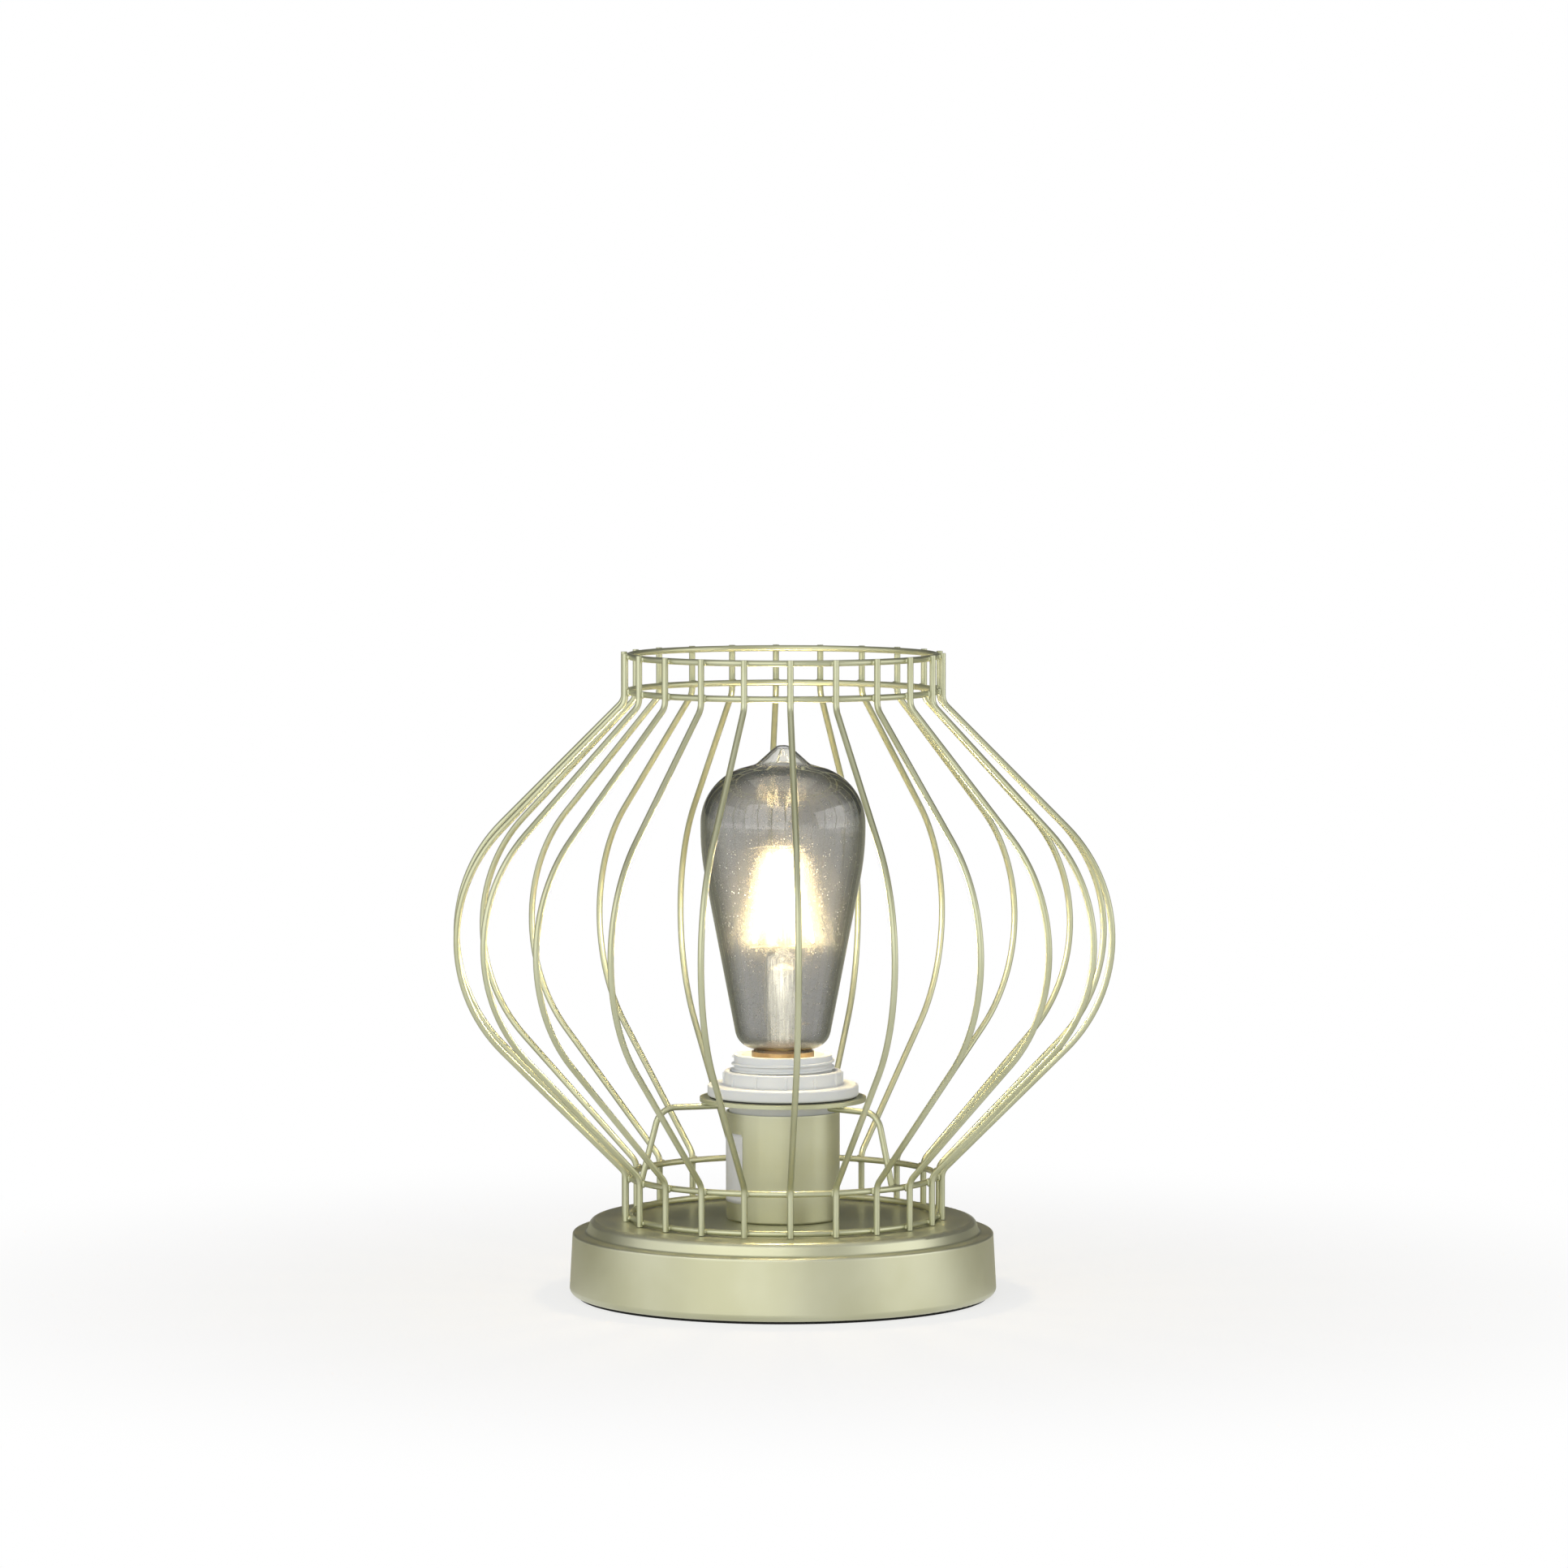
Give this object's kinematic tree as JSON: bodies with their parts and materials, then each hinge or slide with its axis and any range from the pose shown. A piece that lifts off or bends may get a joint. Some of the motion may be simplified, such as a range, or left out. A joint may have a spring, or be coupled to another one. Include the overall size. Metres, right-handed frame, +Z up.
{
  "type": "cage table lamp",
  "caption": "Table lamp with a bulging open wire cage on a round stepped base, clamped to a screw lampholder by a threaded ring, around a teardrop filament bulb.",
  "frame": {"origin": "centre of the underside of the base, on the surface that the lamp stands on", "axes": "+Z up along the lamp axis, the pictured front towards -Y, the cord inlet towards +Y"},
  "size_m": [0.2564, 0.2572, 0.25],
  "materials": {
    "champagne_paint": "satin metallic champagne paint on steel",
    "white_moulding": "white moulded plastic",
    "porcelain": "pale moulded insulating core",
    "black_moulding": "black moulded plastic",
    "foam_pad": "black foam",
    "black_plate": "black painted steel sheet",
    "zinc_steel": "zinc plated steel",
    "brass": "plain brass",
    "cap_metal": "bright brass screw cap",
    "bulb_clear": "clear blown glass",
    "stem_glass": "clear glass stem",
    "filament": "warm glowing filament strips",
    "spoke_wire": "thin bright wire",
    "insulator_black": "black glass insulator",
    "circuit_board": "green circuit board with its capacitor",
    "block_plastic": "pale plastic",
    "lead_brown": "brown insulated lead",
    "lead_blue": "blue insulated lead"
  },
  "bodies": {
    "base": {"base_shell": "champagne_paint", "block_screws": "zinc_steel", "bottom_plate": "black_plate", "centre_contact": "brass", "cord_bushing": "black_moulding", "foot_pad": "foam_pad", "holder_barrel": "white_moulding", "holder_core": "porcelain", "holder_cup": "champagne_paint", "holder_dome": "white_moulding", "live_lead": "lead_brown", "lock_washer": "zinc_steel", "neutral_lead": "lead_blue", "nipple": "zinc_steel", "nipple_nut": "zinc_steel", "plate_screws": "zinc_steel", "plate_tabs": "zinc_steel", "side_contact": "brass", "terminal_block": "block_plastic", "terminal_posts": "brass"},
    "cage": {"cage_rib_01": "champagne_paint", "cage_rib_02": "champagne_paint", "cage_rib_03": "champagne_paint", "cage_rib_04": "champagne_paint", "cage_rib_05": "champagne_paint", "cage_rib_06": "champagne_paint", "cage_rib_07": "champagne_paint", "cage_rib_08": "champagne_paint", "cage_rib_09": "champagne_paint", "cage_rib_10": "champagne_paint", "cage_rib_11": "champagne_paint", "cage_rib_12": "champagne_paint", "cage_rib_13": "champagne_paint", "cage_rib_14": "champagne_paint", "cage_rib_15": "champagne_paint", "cage_rib_16": "champagne_paint", "cage_rib_17": "champagne_paint", "cage_rib_18": "champagne_paint", "cage_rib_19": "champagne_paint", "cage_rib_20": "champagne_paint", "cage_rib_21": "champagne_paint", "cage_rib_22": "champagne_paint", "rim_ring": "champagne_paint", "upper_neck_ring": "champagne_paint", "lower_neck_ring": "champagne_paint", "foot_ring": "champagne_paint", "spider_washer": "champagne_paint", "spider_arm_1": "champagne_paint", "spider_arm_2": "champagne_paint", "spider_arm_3": "champagne_paint"},
    "gasket": {"clamp_gasket": "black_moulding"},
    "shade_ring": {"shade_ring": "white_moulding"},
    "bulb_button": {"bulb_contact": "brass"},
    "bulb": {"bulb_glass": "bulb_clear", "bulb_cap": "cap_metal", "bulb_insulator": "insulator_black", "bulb_stem": "stem_glass", "led_filaments": "filament", "filament_spokes": "spoke_wire", "driver_board": "circuit_board"}
  },
  "joints": [
    {"name": "cage_turn", "type": "hinge", "parent": "base", "child": "cage", "pos_m": [0, 0, 0.07675], "axis": [0, 0, 1], "continuous": true},
    {"name": "ring_lift", "type": "slide", "parent": "base", "child": "gasket", "axis": [0, 0, 1], "range_m": [0, 0.0126]},
    {"name": "ring_turn", "type": "hinge", "parent": "gasket", "child": "shade_ring", "pos_m": [0, 0, 0.083], "axis": [0, 0, 1], "range_deg": [0, 1800]},
    {"name": "bulb_lift", "type": "slide", "parent": "base", "child": "bulb_button", "axis": [0, 0, 1], "range_m": [0, 0.0182]},
    {"name": "bulb_turn", "type": "hinge", "parent": "bulb_button", "child": "bulb", "pos_m": [0, 0, 0.083], "axis": [0, 0, 1], "range_deg": [0, 1800]}
  ],
  "couplings": [
    {"joint": "ring_lift", "follows": "ring_turn", "m_per_rad": 0.00039789},
    {"joint": "bulb_lift", "follows": "bulb_turn", "m_per_rad": 0.00057757}
  ]
}
